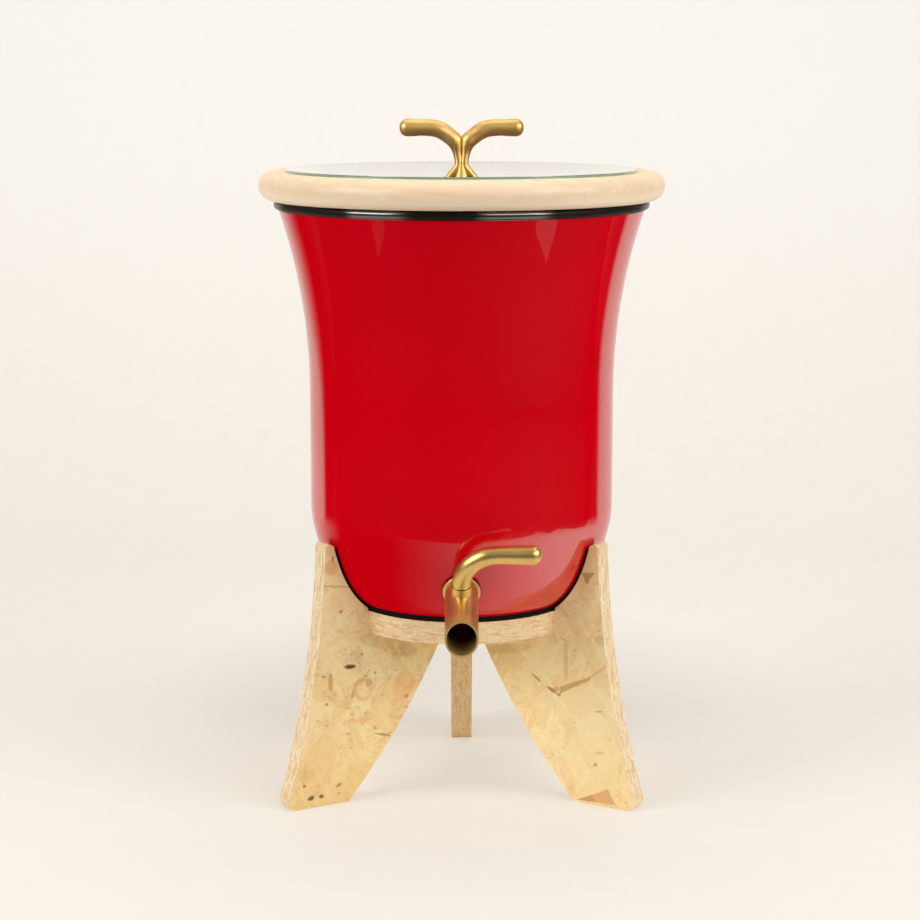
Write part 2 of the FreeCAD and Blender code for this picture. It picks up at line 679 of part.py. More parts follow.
# ------------------------------------------------------------------ all pieces
def build():
    os.makedirs("parts", exist_ok=True)
    one_leg = leg()
    for name, angle in LEG_ANGLES.items():
        save(name, turn_to(one_leg, angle))
    save("shelf_disc", shelf_disc())
    save("shelf_screws", for_each_leg(wood_screw()))
    save("leg_pads", for_each_leg(cradle_strip()))
    save("base_pad", Part.makeCylinder(BASE_R, BASE_PAD, V(0, 0, SHELF_TOP)))
    save("pot_body", pot_body())
    save("rim_trim", rim_trim())

    seal = ring(SEAL_R, SHANK_R, 0, SEAL_THICKNESS)
    tap_pieces = {
        "tap_body": tap_body(),
        "tap_seal_outer": seal,
        "plug_sleeve": plug_sleeve(),
        "stem_collar": stem_collar(),
        "valve_plug": valve_plug(),
        "stem_o_rings": stem_o_rings(),
        "lever_handle": lever_handle().cut(stop_pin()),
        "lever_grub_screw": lever_grub_screw(),
        "stop_pin": stop_pin(),
        **tap_washers(),
    }
    for name, shape in tap_pieces.items():
        save(name, on_tap(shape))
    save("spout_tube", spout_tube())

    save("lid_ring", lid_ring())
    save("lid_glass", lid_glass())
    save("glass_bedding", glass_bedding())
    save("lid_handle", lid_handle())
    for name, shape in handle_fixing().items():
        save(name, shape)


build()
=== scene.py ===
"""Finish, studio and camera for the water pot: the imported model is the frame, in metres."""

import math

import bpy
from mathutils import Matrix, Vector

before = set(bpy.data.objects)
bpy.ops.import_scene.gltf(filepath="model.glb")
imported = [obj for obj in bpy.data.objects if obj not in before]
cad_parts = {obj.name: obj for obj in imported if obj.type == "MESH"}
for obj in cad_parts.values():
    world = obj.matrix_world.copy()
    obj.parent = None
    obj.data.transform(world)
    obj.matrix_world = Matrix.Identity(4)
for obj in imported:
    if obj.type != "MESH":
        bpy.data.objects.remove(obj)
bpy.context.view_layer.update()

MM = 0.001
LEG_ANGLES = {"leg_left": 210.0, "leg_right": 330.0, "leg_back": 90.0}


def colour(red, green, blue):
    """Linear colour from the 0 to 255 values of a screen."""
    def linear(value):
        value /= 255
        return value / 12.92 if value <= 0.04045 else ((value + 0.055) / 1.055) ** 2.4
    return (linear(red), linear(green), linear(blue), 1.0)


# ------------------------------------------------------------------ node trees
class Paint:
    """A material's node tree, with a short call for each kind of node."""

    def __init__(self, name):
        self.material = bpy.data.materials.new(name)
        self.material.use_nodes = True
        self.tree = self.material.node_tree
        self.shader = self.tree.nodes["Principled BSDF"]

    def add(self, kind, inputs, **settings):
        """New node of a kind; each input is a value, or a socket to link to."""
        node = self.tree.nodes.new("ShaderNode" + kind)
        for key, value in settings.items():
            setattr(node, key, value)
        for socket, value in inputs.items():
            self.plug(node, socket, value)
        return node

    def plug(self, node, socket, value):
        if isinstance(value, bpy.types.NodeSocket):
            self.tree.links.new(value, node.inputs[socket])
        else:
            node.inputs[socket].default_value = value

    def set(self, **inputs):
        """Set or link the shader's inputs; an underscore in a name stands for a space."""
        for name, value in inputs.items():
            self.plug(self.shader, name.replace("_", " "), value)

    def place(self):
        """Position in the row frame, which moves with the piece."""
        return self.add("TexCoord", {}).outputs["Object"]

    def normal(self):
        return self.add("TexCoord", {}).outputs["Normal"]

    def moved(self, vector, scale=(1, 1, 1), turn=(0, 0, 0), shift=(0, 0, 0)):
        """Vector turned, scaled and shifted, in that order."""
        turned = self.add("Mapping", {"Vector": vector, "Rotation": turn}).outputs[0]
        return self.add("Mapping", {"Vector": turned, "Scale": scale, "Location": shift}).outputs[0]

    def noise(self, vector, scale=1.0, detail=2.0, roughness=0.5):
        node = self.add("TexNoise", {"Vector": vector, "Scale": scale, "Detail": detail,
                                     "Roughness": roughness})
        return node.outputs["Fac"]

    def math(self, operation, first, second=0.0):
        return self.add("Math", {0: first, 1: second}, operation=operation).outputs[0]

    def ramp(self, value, low, high, to_low=0.0, to_high=1.0):
        """Smooth step of value from low..high to to_low..to_high."""
        node = self.add("MapRange", {"Value": value, "From Min": low, "From Max": high,
                                     "To Min": to_low, "To Max": to_high},
                        interpolation_type="SMOOTHSTEP")
        return node.outputs["Result"]

    def mix(self, factor, first, second):
        """Colour that goes from first to second as factor goes from 0 to 1."""
        node = self.tree.nodes.new("ShaderNodeMix")
        node.data_type = "RGBA"
        for index, value in ((0, factor), (6, first), (7, second)):
            self.plug(node, index, value)
        return node.outputs[2]

    def palette(self, value, *colours):
        """Colour picked evenly from the colours by a value from 0 to 1."""
        node = self.add("ValToRGB", {"Fac": value})
        ramp = node.color_ramp
        ramp.interpolation = "CONSTANT"
        for index, chosen in enumerate(colours):
            place = index / len(colours)
            stop = ramp.elements[index] if index < 2 else ramp.elements.new(place)
            stop.position = place
            stop.color = chosen
        return node.outputs["Color"]

    def split(self, vector):
        return self.add("SeparateXYZ", {"Vector": vector}).outputs

    def length(self, vector):
        return self.add("VectorMath", {0: vector}, operation="LENGTH").outputs["Value"]

    def from_axis(self, vector):
        """Distance from the Z axis."""
        return self.length(self.moved(vector, scale=(1, 1, 0)))

    def bump(self, height, distance, strength):
        node = self.add("Bump", {"Height": height, "Distance": distance, "Strength": strength})
        self.plug(self.shader, "Normal", node.outputs[0])


# ------------------------------------------------------------------ strand board
STRAND_LIGHT = colour(250, 230, 178)
STRAND_MID = colour(247, 223, 168)
STRAND_DARK = colour(243, 215, 158)
STRAND_SHADE = colour(196, 156, 104)
STRAND_BLOTCH = colour(208, 170, 114)
# painted shade: the colour each board darkens toward near its foot, by a share for each board
PAINTED_FOOT_SHADE = colour(222, 184, 120)
STRAND_SPECK = colour(140, 98, 56)
PAINTED_FOOT_SHADE_SHARE = {"leg_left": 0.5, "leg_right": 0.12, "leg_back": 0.3, "shelf_disc": 0.0}
FRONT_SIDES = {"leg_left": -1, "leg_right": 1, "leg_back": 1, "shelf_disc": 1}  # of local Z
MOTTLE = {"leg_left": 0.5, "leg_right": 0.3, "leg_back": 0.45, "shelf_disc": 0.45}  # blotches
FLECKS = {"leg_left": 0.8, "leg_right": 0.4, "leg_back": 0.6, "shelf_disc": 0.6}    # dark specks
BOARD_SEEDS = {"leg_left": 0.31, "leg_right": 1.17, "leg_back": 2.05, "shelf_disc": 2.9}  # m
EDGE_TONES = [colour(238, 216, 178), colour(232, 208, 168), colour(243, 223, 188),
              colour(216, 186, 144), colour(237, 212, 172), colour(224, 196, 154)]
# painted shade: the cut edges of the back leg and the shelf are darkened toward this colour
PAINTED_EDGE_SHADE = colour(212, 174, 116)
PAINTED_EDGE_SHADE_SHARE = {"leg_back": 0.45, "shelf_disc": 0.3}
EDGE_SPECK = colour(150, 108, 70)
BACK_SHIFT = 0.7                # metres from a board's pattern in front to that on its back
FLAKE_LAYERS = [                # (turn, length, width, seed, share left bare), lowest first
    (0.2, 90, 34, 3.1, 0.0), (1.25, 70, 26, 7.7, 0.5), (-0.55, 60, 20, 11.3, 0.6),
    (0.75, 36, 9, 15.9, 0.72), (-1.15, 18, 4, 21.5, 0.8),
]
FLAKE_WOBBLE = (45.0, 4 * MM)   # scale of the noise that bends the outlines, and its reach
EDGE_WOBBLE = (110.0, 1.2 * MM)
MARK_WOBBLE = (260.0, 0.8 * MM)
CHIP_WIDTH = 8 * MM             # of the flakes' ends on a cut edge
CHIP_DEPTH = 1.6 * MM
LAYER_SOFTNESS = 0.08
MARK_SOFTNESS = 0.6 * MM
OVAL_RIM = (0.7, 1.15)          # shares of a mark's radius over which it fades
OVAL_HOLLOW = (0.45, 0.8)
FOOT_SHADE_TOP = 120 * MM       # painted shade: a board darkens from this height down to its foot
FACE_FROM = 0.7                 # a normal with a larger share across the board is a face's
BOARD_RELIEF = 0.25 * MM


def warped(paint, plane, scale, reach):
    """Plane with its points pushed about by a noise, by up to about `reach` metres."""
    wobble = paint.add("TexNoise", {"Vector": plane, "Scale": scale, "Detail": 2.0})
    push = paint.add("VectorMath", {0: wobble.outputs["Color"], 1: (-0.5, -0.5, -0.5)},
                     operation="ADD").outputs[0]
    push = paint.add("VectorMath", {0: push, "Scale": 2 * reach}, operation="SCALE").outputs[0]
    return paint.add("VectorMath", {0: plane, 1: push}, operation="ADD").outputs[0]


def strands(paint, plane, turn, length, width, seed):
    """Layer of soft-edged flakes lying at `turn`: three random values for each, and its grain."""
    along = paint.moved(plane, turn=(0, 0, turn), scale=(1 / length, 1 / width, 0),
                        shift=(seed, 2.3 * seed, 0))
    cells = paint.add("TexVoronoi", {"Vector": along, "Scale": 1.0, "Smoothness": 0.12},
                      voronoi_dimensions="2D", feature="SMOOTH_F1")
    grain = paint.moved(plane, turn=(0, 0, turn), scale=(30, 700, 0), shift=(seed, 0, 0))
    return paint.split(cells.outputs["Color"]), paint.noise(grain, detail=3.0)


def board_face(paint, place, name):
    """Colour and height of a sanded face: flakes of several directions over each other."""
    seed = BOARD_SEEDS[name]
    plane = paint.moved(place, shift=(seed, seed, 0))
    plane = warped(paint, plane, *FLAKE_WOBBLE)
    tone = None
    height = None
    for turn, length, width, shift, cover in FLAKE_LAYERS:
        pick, grain = strands(paint, plane, turn, length * MM, width * MM, shift)
        flake = paint.mix(paint.ramp(pick[0], 0.2, 0.55), STRAND_DARK, STRAND_MID)
        flake = paint.mix(paint.ramp(pick[0], 0.5, 0.8), flake, STRAND_LIGHT)
        flake = paint.mix(paint.ramp(grain, 0.45, 0.75, 0.0, 0.2), flake, STRAND_SHADE)
        if tone is None:
            tone = flake
            height = pick[1]
        else:
            on_top = paint.ramp(pick[2], cover - LAYER_SOFTNESS, cover + LAYER_SOFTNESS)
            tone = paint.mix(on_top, tone, flake)
            height = paint.mix(on_top, height, pick[1])
    blotch = paint.noise(plane, scale=48, detail=7.0, roughness=0.72)
    tone = paint.mix(paint.ramp(blotch, 0.47, 0.68, 0.0, MOTTLE[name]), tone, STRAND_BLOTCH)
    flecks = paint.noise(paint.moved(plane, scale=(190, 380, 0)), detail=4.0, roughness=0.65)
    sparse = paint.ramp(blotch, 0.46, 0.6)
    flecks = paint.math("MULTIPLY", paint.ramp(flecks, 0.57, 0.67, 0.0, FLECKS[name]), sparse)
    tone = paint.mix(flecks, tone, STRAND_SPECK)
    # painted shade: each board darkens toward its foot
    foot_shade = paint.ramp(paint.split(place)[1], 0.0, FOOT_SHADE_TOP, PAINTED_FOOT_SHADE_SHARE[name], 0.0)
    tone = paint.mix(foot_shade, tone, PAINTED_FOOT_SHADE)
    return tone, height


def board_edge(paint, local):
    """Colour of a cut edge: ends of flakes, packed in thin layers and drawn out along them."""
    local = warped(paint, local, *EDGE_WOBBLE)
    thin = paint.moved(local, scale=(1 / CHIP_WIDTH, 1 / CHIP_WIDTH, 1 / CHIP_DEPTH))
    chips = paint.add("TexVoronoi", {"Vector": thin, "Scale": 1.0, "Smoothness": 0.35},
                      feature="SMOOTH_F1")
    tone = paint.palette(paint.split(chips.outputs["Color"])[0], *EDGE_TONES)
    dark = paint.noise(paint.moved(local, scale=(260, 260, 620)), detail=2.0)
    tone = paint.mix(paint.ramp(dark, 0.58, 0.7, 0.0, 0.4), tone, EDGE_SPECK)
    return tone, chips.outputs["Distance"]


def oval(centre, size, turn, tint, strength, hollow=False):
    """Knot, scar, hole or painted shade drawn round `centre`; a hollow one is a ring."""
    return {"centre": centre, "size": size, "turn": turn, "tint": tint, "strength": strength,
            "hollow": hollow}


def patch(corners, tint, strength):
    """Odd flake, or a patch of painted light, with straight sides; its corners run
    counter-clockwise.
    """
    return {"corners": corners, "tint": tint, "strength": strength}


def cover_oval(paint, plane, shape):
    centre = shape["centre"]
    size = shape["size"]
    there = paint.moved(plane, shift=(-centre[0] * MM, -centre[1] * MM, 0))
    there = paint.moved(there, turn=(0, 0, -math.radians(shape["turn"])),
                        scale=(2 / (size[0] * MM), 2 / (size[1] * MM), 0))
    reach = paint.length(there)
    cover = paint.ramp(reach, *OVAL_RIM, shape["strength"], 0.0)
    if shape["hollow"]:
        cover = paint.math("MULTIPLY", cover, paint.ramp(reach, *OVAL_HOLLOW))
    return cover


def cover_patch(paint, plane, shape):
    """Share of cover inside a convex outline with a soft edge."""
    inside = None
    corners = [Vector(corner) * MM for corner in shape["corners"]]
    for first, second in zip(corners, corners[1:] + corners[:1]):
        inward = (second - first).orthogonal().normalized()
        if inward.dot(sum(corners, Vector((0, 0))) / len(corners) - first) < 0:
            inward = -inward
        depth = paint.add("VectorMath", {0: plane, 1: (*inward, 0)}, operation="DOT_PRODUCT")
        depth = paint.math("SUBTRACT", depth.outputs["Value"], first.dot(inward))
        inside = depth if inside is None else paint.math("MINIMUM", inside, depth)
    return paint.ramp(inside, -MARK_SOFTNESS, MARK_SOFTNESS, 0.0, shape["strength"])


def mark(paint, plane, tone, shape):
    cover = cover_patch if "corners" in shape else cover_oval
    return paint.mix(cover(paint, plane, shape), tone, shape["tint"])


DARK = colour(88, 58, 34)
BROWN = colour(160, 112, 66)
RUST = colour(206, 140, 84)
ORANGE = colour(232, 170, 106)
GREY = colour(190, 160, 118)
TAN = colour(206, 164, 106)
CREAM = colour(246, 228, 184)
MARKS_AND_PAINTED_LIGHT = {                       # marks, with painted light and shade, at places in mm from the crock's axis and up, on each front face
    "leg_left": [
        # this pale patch is painted light on the upper face
        patch([(134, 183), (112, 179), (90, 150), (136, 120)], CREAM, 0.25),
        oval((126, 198), (12, 14), 0, ORANGE, 0.6), oval((124.5, 205), (2, 6), 0, BROWN, 0.7),
        oval((60, 92), (22, 26), 20, ORANGE, 0.45), oval((103, 67.5), (30, 5), 2, ORANGE, 0.45),
        patch([(134, 184.5), (134, 183), (110, 179.5), (110, 181)], BROWN, 0.35),
        # these two grey ovals are painted shade under the shelf
        oval((62, 124), (34, 17), 25, GREY, 0.25), oval((92, 134), (20, 12), 30, GREY, 0.3),
        oval((98, 93), (19, 22), -20, RUST, 0.4, hollow=True),
        oval((93, 98), (6, 8), 40, RUST, 0.45),
        oval((108, 90), (3, 8), 10, BROWN, 0.5), oval((127.6, 103), (4.5, 17), 0, TAN, 0.85),
        oval((110, 113.8), (12, 4.4), 3, BROWN, 0.8), oval((109.5, 113.8), (9, 2.8), 3, DARK, 0.9),
        oval((80, 52), (16, 1.8), 17, BROWN, 0.75), oval((57.5, 81.8), (4, 3.4), 0, RUST, 0.9),
        oval((117.7, 160.6), (3, 3), 0, BROWN, 0.8), oval((131.6, 85), (3.2, 2.6), 0, BROWN, 0.7),
        oval((87, 105.7), (2.6, 2.6), 0, BROWN, 0.6), oval((133.8, 108.6), (4, 1.8), 0, BROWN, 0.6),
        oval((146.4, 8.3), (6.5, 3.8), -20, DARK, 0.85),
        oval((137.1, 8.5), (5, 3.4), 25, DARK, 0.8),
        oval((152.3, 19.4), (3, 3), 0, BROWN, 0.85), oval((121, 15.4), (6, 2.6), -30, BROWN, 0.8),
        oval((121, 8.4), (4, 1.8), 0, BROWN, 0.5), oval((100.8, 11.5), (3, 2.4), 0, BROWN, 0.5),
    ],
    "leg_right": [
        patch([(58, 78), (150, 112), (152, 4), (112, 0), (96, 30)], CREAM, 0.3),
        patch([(114.5, 1.8), (150, 3), (142.4, 15)], RUST, 0.6),
        patch([(114.5, 1.8), (132, 2.3), (128, 8)], BROWN, 0.35),
        patch([(116.3, 193), (121.3, 183.7), (128.6, 194.1)], BROWN, 0.65),
        patch([(97.7, 89.5), (124.8, 104.5), (126, 107.5), (97.7, 95.5)], TAN, 0.9),
        patch([(124.8, 104.5), (140, 117.5), (138.5, 118.5), (124, 107.5)], TAN, 0.4),
        oval((76, 99.8), (12, 2.2), -35, BROWN, 0.65), oval((91, 91.4), (11, 3.2), -25, BROWN, 0.8),
        oval((95, 93), (5, 5), 0, TAN, 0.7), oval((97, 88.4), (4, 3), 0, BROWN, 0.7),
        oval((103, 118), (4, 38), 1, TAN, 0.4), oval((136, 130), (12, 18), 10, CREAM, 0.7),
        oval((134.5, 138.5), (12, 10), 0, GREY, 0.35), oval((105, 22), (12, 34), 24, ORANGE, 0.25),
        # the first oval here is a painted shadow under the shelf; the second is a grey mark
        oval((50, 121), (46, 9), 12, BROWN, 0.2), oval((131, 34.2), (4, 3), 20, GREY, 0.95),
        oval((133.3, 79.4), (9, 1.8), 6, GREY, 0.7), oval((134.5, 44.6), (9, 1.6), 12, GREY, 0.5),
    ],
}


def strand_board(name, angle, flat=False):
    """Oriented strand board: `angle` is where the board points, `flat` when it lies level."""
    paint = Paint(name)
    turn = Matrix.Rotation(-math.radians(angle), 3, "Z")
    if not flat:
        turn = Matrix.Rotation(math.radians(-90), 3, "X") @ turn
    euler = tuple(turn.to_euler())
    local = paint.add("Mapping", {"Vector": paint.place(), "Rotation": euler}).outputs[0]
    across = paint.add("Mapping", {"Vector": paint.normal(), "Rotation": euler}).outputs[0]
    facing = paint.split(across)[2]
    on_face = paint.math("GREATER_THAN", paint.math("ABSOLUTE", facing), FACE_FROM)
    on_back = paint.math("LESS_THAN", paint.math("MULTIPLY", facing, FRONT_SIDES[name]), 0.0)
    shift = paint.add("CombineXYZ", {"X": paint.math("MULTIPLY", on_back, BACK_SHIFT)}).outputs[0]
    plane = paint.add("VectorMath", {0: local, 1: shift}, operation="ADD").outputs[0]
    face, face_height = board_face(paint, plane, name)
    ragged = warped(paint, plane, *MARK_WOBBLE)
    for shape in MARKS_AND_PAINTED_LIGHT.get(name, []):
        face = mark(paint, ragged, face, shape)
    edge, edge_height = board_edge(paint, local)
    # painted shade darkens the cut edges of the back leg and the shelf
    edge = paint.mix(PAINTED_EDGE_SHADE_SHARE.get(name, 0.0), edge, PAINTED_EDGE_SHADE)
    tone = paint.mix(on_face, edge, face)
    paint.set(Base_Color=tone, Roughness=0.6, Specular_IOR_Level=0.2)
    paint.bump(paint.mix(on_face, edge_height, face_height), BOARD_RELIEF, 0.5)
    return paint.material


# ------------------------------------------------------------------ other finishes
WOOD_PALE = colour(242, 219, 188)
WOOD_GRAIN = colour(235, 206, 168)
WOOD_CLOUD = colour(239, 206, 172)
WOOD_PORE = colour(232, 194, 150)
WOOD_PAINTED_UNDERSIDE_LIGHT = colour(255, 238, 206)
RING_PAINTED_LIGHT_SPAN = (489 * MM, 502 * MM)   # painted light: the ring pales downward between these heights
WOOD_RELIEF = 0.05 * MM


def turned_wood():
    """Pale close-grained wood with the grain running along X through the whole ring; painted light
    makes its underside paler.
    """
    paint = Paint("turned_wood")
    place = paint.place()
    grain = paint.noise(paint.moved(place, scale=(9, 160, 160)), detail=4.0, roughness=0.6)
    fine = paint.noise(paint.moved(place, scale=(60, 1400, 1400)), detail=2.0)
    broad = paint.noise(paint.moved(place, scale=(9, 30, 30)), detail=2.0)
    tone = paint.mix(paint.ramp(grain, 0.35, 0.68), WOOD_PALE, WOOD_GRAIN)
    tone = paint.mix(paint.ramp(broad, 0.4, 0.7, 0.0, 0.5), tone, WOOD_CLOUD)
    tone = paint.mix(paint.ramp(fine, 0.55, 0.75, 0.0, 0.3), tone, WOOD_PORE)
    # painted light on the ring's underside
    painted_underside_light = paint.ramp(paint.split(place)[2], *RING_PAINTED_LIGHT_SPAN, 0.95, 0.0)
    tone = paint.mix(painted_underside_light, tone, WOOD_PAINTED_UNDERSIDE_LIGHT)
    paint.set(Base_Color=tone, Roughness=0.42, Specular_IOR_Level=0.4)
    paint.bump(fine, WOOD_RELIEF, 0.3)
    return paint.material


GLAZE_RED = colour(206, 0, 22)
GLAZE_DEEP = colour(200, 0, 17)
GLAZE_RELIEF = 0.02 * MM
WALL_R = 124.6 * MM             # of the crock's upright wall
FLARE_START = 335 * MM          # height where the wall begins to flare
FLARE_RADIUS = 460 * MM
# The weight of the clear gloss. Each row gives where a ramp begins and ends, and perhaps its value
# at either end. Shares are of the crock's radius, out from the middle plane.
GLOSS_MIDDLE = (-90 * MM, 90 * MM, 0.05, 0.16)  # across the front of the wall
GLOSS_MIDDLE_FADE = (0.72, 0.84, 1.0, 0.15)     # by share
GLOSS_LEFT_FROM = 0.868                         # share where the left edge's gloss sets in
GLOSS_LEFT_FULL = (300 * MM, 420 * MM, 0.9, 0.97)   # by height, the share where it is full
GLOSS_RIGHT = (0.86, 0.892)                     # shares, right edge
GLOSS_FOOT = (-60 * MM, 76 * MM)                # across the front of the foot
GLOSS_FOOT_POWER = 1.6
GLOSS_FOOT_EDGE = (95 * MM, 121 * MM)           # out from the middle plane
FOOT_TO_WALL = (228 * MM, 240 * MM)             # by height
FRONT_TO_BACK = (-6 * MM, 22 * MM)              # by depth
GLOSS_BACK = (0.22, 0.22, 0.22, 1.0)
GLOSS_FULL = (1, 1, 1, 1)


def share_of_radius(paint, aside, height):
    """Distance from the middle plane as a share of the crock's radius at that height."""
    rise = paint.math("MAXIMUM", paint.math("SUBTRACT", height, FLARE_START), 0.0)
    drop = paint.math("SUBTRACT", FLARE_RADIUS ** 2, paint.math("MULTIPLY", rise, rise))
    radius = paint.math("SUBTRACT", WALL_R + FLARE_RADIUS, paint.math("SQRT", drop))
    return paint.math("DIVIDE", aside, radius)


def red_glaze():
    """Deep red under a clear gloss, which is weaker across the front and on the back."""
    paint = Paint("red_glaze")
    place = paint.place()
    broad = paint.noise(place, scale=9, detail=1.0)
    tone = paint.mix(paint.ramp(broad, 0.3, 0.7), GLAZE_RED, GLAZE_DEEP)
    across, depth, height = paint.split(place)
    aside = paint.math("ABSOLUTE", across)
    middle_gloss = paint.ramp(across, *GLOSS_MIDDLE)
    share = share_of_radius(paint, aside, height)
    middle_gloss = paint.math("MULTIPLY", middle_gloss, paint.ramp(share, *GLOSS_MIDDLE_FADE))
    left_edge = paint.ramp(share, GLOSS_LEFT_FROM, paint.ramp(height, *GLOSS_LEFT_FULL))
    right_edge = paint.ramp(share, *GLOSS_RIGHT)
    edge = paint.mix(paint.math("GREATER_THAN", across, 0.0), left_edge, right_edge)
    wall_gloss = paint.mix(edge, middle_gloss, GLOSS_FULL)
    thick = paint.add("MapRange", {"Value": across, "From Min": GLOSS_FOOT[0],
                                   "From Max": GLOSS_FOOT[1]})
    foot_gloss = paint.math("POWER", thick.outputs["Result"], GLOSS_FOOT_POWER)
    foot_gloss = paint.math("MAXIMUM", foot_gloss, paint.ramp(aside, *GLOSS_FOOT_EDGE))
    gloss = paint.mix(paint.ramp(height, *FOOT_TO_WALL), foot_gloss, wall_gloss)
    gloss = paint.mix(paint.ramp(depth, *FRONT_TO_BACK), gloss, GLOSS_BACK)
    peel = paint.noise(place, scale=60, detail=2.0)
    paint.set(Base_Color=tone, Roughness=0.3, Specular_IOR_Level=0.0, Coat_Weight=gloss,
              Coat_IOR=2.5, Coat_Roughness=0.03)
    paint.bump(peel, GLAZE_RELIEF, 0.25)
    return paint.material


BEAD_BLACK = colour(18, 10, 6)
BEAD_BROWN = colour(30, 19, 12)
BEAD_GLOSS = [                  # (from, full from, full to, to) in mm across the front, and weight
    (-90, -80, -52, -36, 0.68), (6, 22, 55, 72, 0.78),
]
BEAD_SIDES = (138 * MM, 148 * MM, 0.0, 0.5)     # a ramp out from the middle plane
BEAD_RELIEF = 0.05 * MM


def black_trim():
    """Black glaze on the bead, glossier over two stretches at the front and toward its sides."""
    paint = Paint("black_trim")
    place = paint.place()
    streak = paint.noise(place, scale=130, detail=3.0)
    across = paint.split(place)[0]
    tone = paint.mix(paint.ramp(streak, 0.4, 0.8), BEAD_BLACK, BEAD_BROWN)
    gloss = paint.ramp(paint.math("ABSOLUTE", across), *BEAD_SIDES)
    for start, full_from, full_to, end, weight in BEAD_GLOSS:
        stretch = paint.math("MULTIPLY", paint.ramp(across, start * MM, full_from * MM),
                             paint.ramp(across, full_to * MM, end * MM, 1.0, 0.0))
        gloss = paint.math("MAXIMUM", gloss, paint.math("MULTIPLY", stretch, weight))
    paint.set(Base_Color=tone, Roughness=0.5, Specular_IOR_Level=0.15, Coat_Weight=gloss,
              Coat_IOR=2.6, Coat_Roughness=0.2)
    paint.bump(streak, BEAD_RELIEF, 0.2)
    return paint.material


TAP_TILT = 24.9                 # degrees that the spout slopes down
TO_SPOUT_AXIS = (0.0, 110.9 * MM, -189.3 * MM)
BORE_PAINTED_LIGHT_SPAN = (-165 * MM, -148 * MM)    # painted light at the bore's mouth giving way to painted shade deeper in
SPOUT_BORE = (11.6 * MM, 12.4 * MM)     # the bore's colour gives way to the tube's at this radius


def brass(name, light, dark, roughness, inside=None):
    """Satin metal, faintly tarnished; `inside` is the spout's bore colour at its mouth and deep in,
    painted light at the mouth and painted shade deep in.
    """
    paint = Paint(name)
    place = paint.place()
    cloud = paint.noise(place, scale=45, detail=2.0, roughness=0.4)
    brushed = paint.moved(place, turn=(0.3, 0.5, 0.2), scale=(60, 420, 200))
    scratch = paint.noise(brushed, detail=1.0)
    tone = paint.mix(paint.ramp(cloud, 0.3, 0.7), light, dark)
    if inside is not None:
        along = math.radians(90 + TAP_TILT)
        bench = paint.moved(paint.moved(place, shift=TO_SPOUT_AXIS), turn=(-along, 0, 0))
        # painted light at the bore's mouth, painted shade deep in
        bore_painted_light = paint.mix(paint.ramp(paint.split(place)[1], *BORE_PAINTED_LIGHT_SPAN), inside[0], inside[1])
        tone = paint.mix(paint.ramp(paint.from_axis(bench), *SPOUT_BORE), bore_painted_light, tone)
    rough = paint.ramp(scratch, 0.3, 0.7, roughness - 0.015, roughness + 0.02)
    paint.set(Base_Color=tone, Metallic=1.0, Roughness=rough)
    return paint.material


PANE_CLEAR = colour(252, 254, 252)
PANE_GREEN = colour(140, 172, 142)
PANE_EDGE = (137.5 * MM, 140.9 * MM)    # radii over which the pane turns green


def lid_pane():
    """Clear glass, green where it is seen through its edge."""
    paint = Paint("lid_pane")
    rim = paint.ramp(paint.from_axis(paint.place()), *PANE_EDGE)
    tone = paint.mix(rim, PANE_CLEAR, PANE_GREEN)
    smear = paint.noise(paint.place(), scale=25, detail=3.0)
    paint.set(Base_Color=tone, Transmission_Weight=paint.ramp(rim, 0, 1, 1.0, 0.35), IOR=1.5,
              Roughness=paint.ramp(smear, 0.4, 0.8, 0.0, 0.03), Coat_Weight=1.0, Coat_IOR=1.6,
              Coat_Roughness=0.02)
    return paint.material


PLAIN_RELIEF = 0.03 * MM


def plain(name, tone, other, roughness, metallic=0.0, shine=0.5):
    """Rubber, plastic or steel with a fine mottle."""
    paint = Paint(name)
    mottle = paint.noise(paint.place(), scale=200, detail=3.0)
    rough = paint.ramp(mottle, 0.3, 0.7, roughness - 0.04, roughness + 0.06)
    paint.set(Base_Color=paint.mix(paint.ramp(mottle, 0.35, 0.7), tone, other), Metallic=metallic,
              Specular_IOR_Level=shine, Roughness=rough)
    paint.bump(mottle, PLAIN_RELIEF, 0.3)
    return paint.material


def finish_nodes():
    """Give every CAD node its material."""
    rubber = plain("rubber", colour(15, 8, 6), colour(22, 13, 9), 0.7, shine=0.08)
    steel = plain("steel", colour(190, 190, 188), colour(165, 165, 162), 0.32, metallic=1.0)
    plastic = plain("plastic", colour(236, 234, 226), colour(226, 222, 212), 0.45)
    bedding = plain("bedding", colour(242, 242, 234), colour(232, 232, 222), 0.5)
    satin = brass("satin_brass", colour(228, 195, 120), colour(218, 182, 106), 0.37)
    grip = brass("grip_brass", colour(232, 193, 120), colour(222, 181, 108), 0.48)
    # the tube's bore has painted light at its mouth and painted shade deep in
    tube = brass("tube_brass", colour(228, 202, 136), colour(214, 180, 116), 0.4,
                 inside=(colour(244, 204, 130), colour(112, 76, 36)))
    finishes = {
        strand_board("shelf_disc", 0.0, flat=True): ["shelf_disc"],
        turned_wood(): ["lid_ring"],
        red_glaze(): ["pot_body"],
        black_trim(): ["rim_trim"],
        lid_pane(): ["lid_glass"],
        rubber: ["base_pad", "leg_pads", "tap_seal_outer", "tap_seal_inner", "stem_o_rings",
                 "handle_gasket_upper", "handle_gasket_lower"],
        steel: ["shelf_screws", "lever_grub_screw", "stop_pin", "handle_washer", "handle_screw"],
        plastic: ["plug_sleeve", "handle_bush"],
        bedding: ["glass_bedding"],
        satin: ["lever_handle", "stem_collar", "valve_plug"],
        grip: ["lid_handle"],
        tube: ["spout_tube", "tap_body", "tap_washer", "tap_lock_nut"],
    }
    for name, angle in LEG_ANGLES.items():
        finishes[strand_board(name, angle)] = [name]
    for material, names in finishes.items():
        for name in names:
            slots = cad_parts[name].data.materials
            slots.clear()
            slots.append(material)


